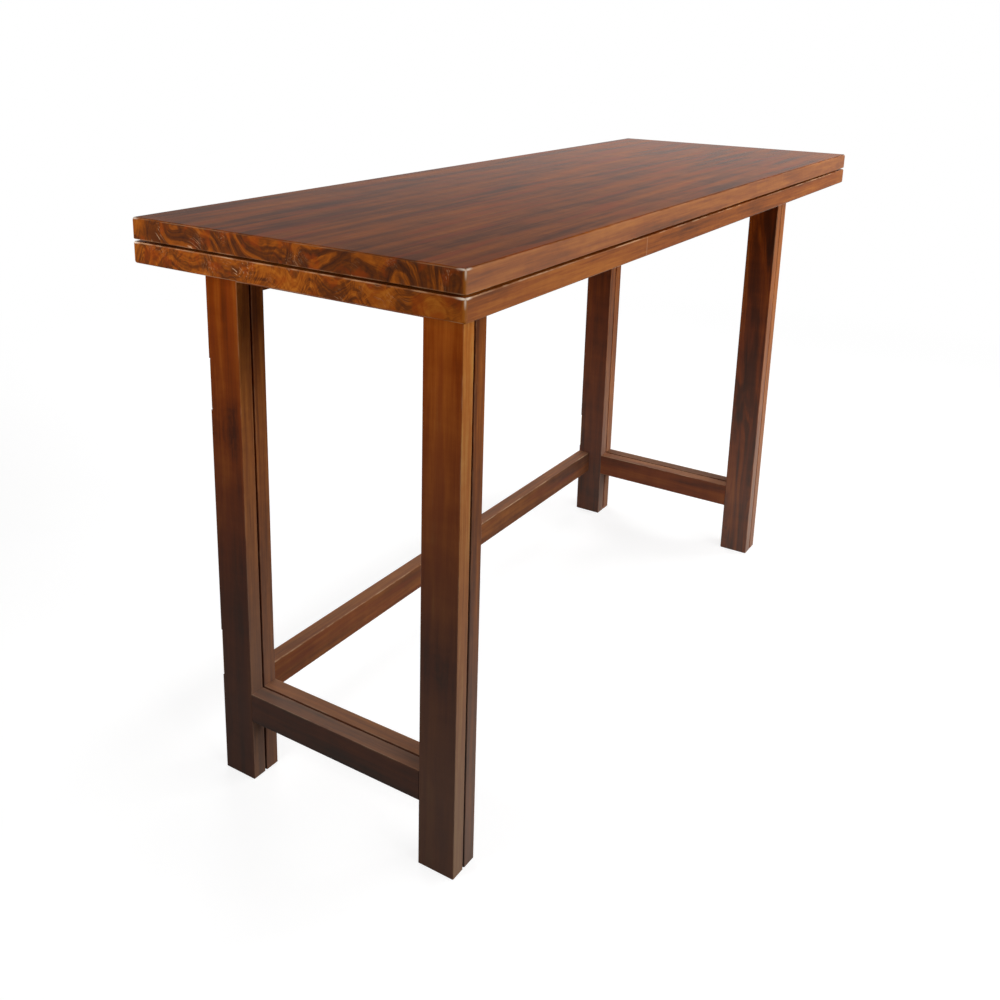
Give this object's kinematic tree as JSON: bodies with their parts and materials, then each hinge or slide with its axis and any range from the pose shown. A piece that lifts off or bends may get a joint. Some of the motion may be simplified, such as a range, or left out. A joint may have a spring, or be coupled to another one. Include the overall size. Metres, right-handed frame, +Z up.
{
  "type": "folding console table",
  "caption": "Folding console table in stained wood: the upper leaf folds over the back edge and rests on gates that swing out from the end frames.",
  "frame": {"origin": "on the floor, in the middle of the table's outline seen from above, with the hinge barrels at the back counted in", "axes": "+X along the table's length, -Y towards its front, where a sitter would be, and +Z up"},
  "size_m": [1.25, 0.4336, 0.75],
  "materials": {
    "top_wood": "dark red-brown stain with satin lacquer",
    "frame_wood": "dark red-brown stain with satin lacquer, darker towards the floor",
    "hinge_metal": "aged",
    "screw_metal": "aged",
    "bumper": "matt"
  },
  "bodies": {
    "base": {"back_rail": "frame_wood", "gate_hinge_frame_screws": "screw_metal", "leaf_bumpers": "bumper", "leaf_hinge_centre_lower_plate": "hinge_metal", "leaf_hinge_centre_pin": "hinge_metal", "leaf_hinge_left_lower_plate": "hinge_metal", "leaf_hinge_left_pin": "hinge_metal", "leaf_hinge_lower_screws": "screw_metal", "leaf_hinge_right_lower_plate": "hinge_metal", "leaf_hinge_right_pin": "hinge_metal", "left_frame_back_leg": "frame_wood", "left_frame_front_leg": "frame_wood", "left_frame_stretcher": "frame_wood", "left_frame_top_rail": "frame_wood", "left_lower_gate_hinge_frame_plate": "hinge_metal", "left_lower_gate_hinge_pin": "hinge_metal", "left_upper_gate_hinge_frame_plate": "hinge_metal", "left_upper_gate_hinge_pin": "hinge_metal", "long_stretcher": "frame_wood", "lower_leaf": "top_wood", "right_frame_back_leg": "frame_wood", "right_frame_front_leg": "frame_wood", "right_frame_stretcher": "frame_wood", "right_frame_top_rail": "frame_wood", "right_lower_gate_hinge_frame_plate": "hinge_metal", "right_lower_gate_hinge_pin": "hinge_metal", "right_upper_gate_hinge_frame_plate": "hinge_metal", "right_upper_gate_hinge_pin": "hinge_metal", "top_fixing_screws": "screw_metal"},
    "upper_leaf": {"leaf_hinge_centre_upper_plate": "hinge_metal", "leaf_hinge_left_upper_plate": "hinge_metal", "leaf_hinge_right_upper_plate": "hinge_metal", "leaf_hinge_upper_screws": "screw_metal", "upper_leaf": "top_wood"},
    "left_gate": {"left_gate_back_leg": "frame_wood", "left_gate_front_leg": "frame_wood", "left_gate_hinge_screws": "screw_metal", "left_gate_stretcher": "frame_wood", "left_gate_top_rail": "frame_wood", "left_lower_gate_hinge_gate_plate": "hinge_metal", "left_upper_gate_hinge_gate_plate": "hinge_metal"},
    "right_gate": {"right_gate_back_leg": "frame_wood", "right_gate_front_leg": "frame_wood", "right_gate_hinge_screws": "screw_metal", "right_gate_stretcher": "frame_wood", "right_gate_top_rail": "frame_wood", "right_lower_gate_hinge_gate_plate": "hinge_metal", "right_upper_gate_hinge_gate_plate": "hinge_metal"}
  },
  "joints": [
    {"name": "top_fold", "type": "hinge", "parent": "base", "child": "upper_leaf", "pos_m": [0, 0.21375, 0.72475], "axis": [-1, 0, 0], "range_deg": [0, 180]},
    {"name": "left_gate_swing", "type": "hinge", "parent": "base", "child": "left_gate", "pos_m": [-0.50075, 0.21375, 0.35], "axis": [0, 0, -1], "range_deg": [0, 180]},
    {"name": "right_gate_swing", "type": "hinge", "parent": "base", "child": "right_gate", "pos_m": [0.50075, 0.21375, 0.35], "axis": [0, 0, 1], "range_deg": [0, 180]}
  ]
}
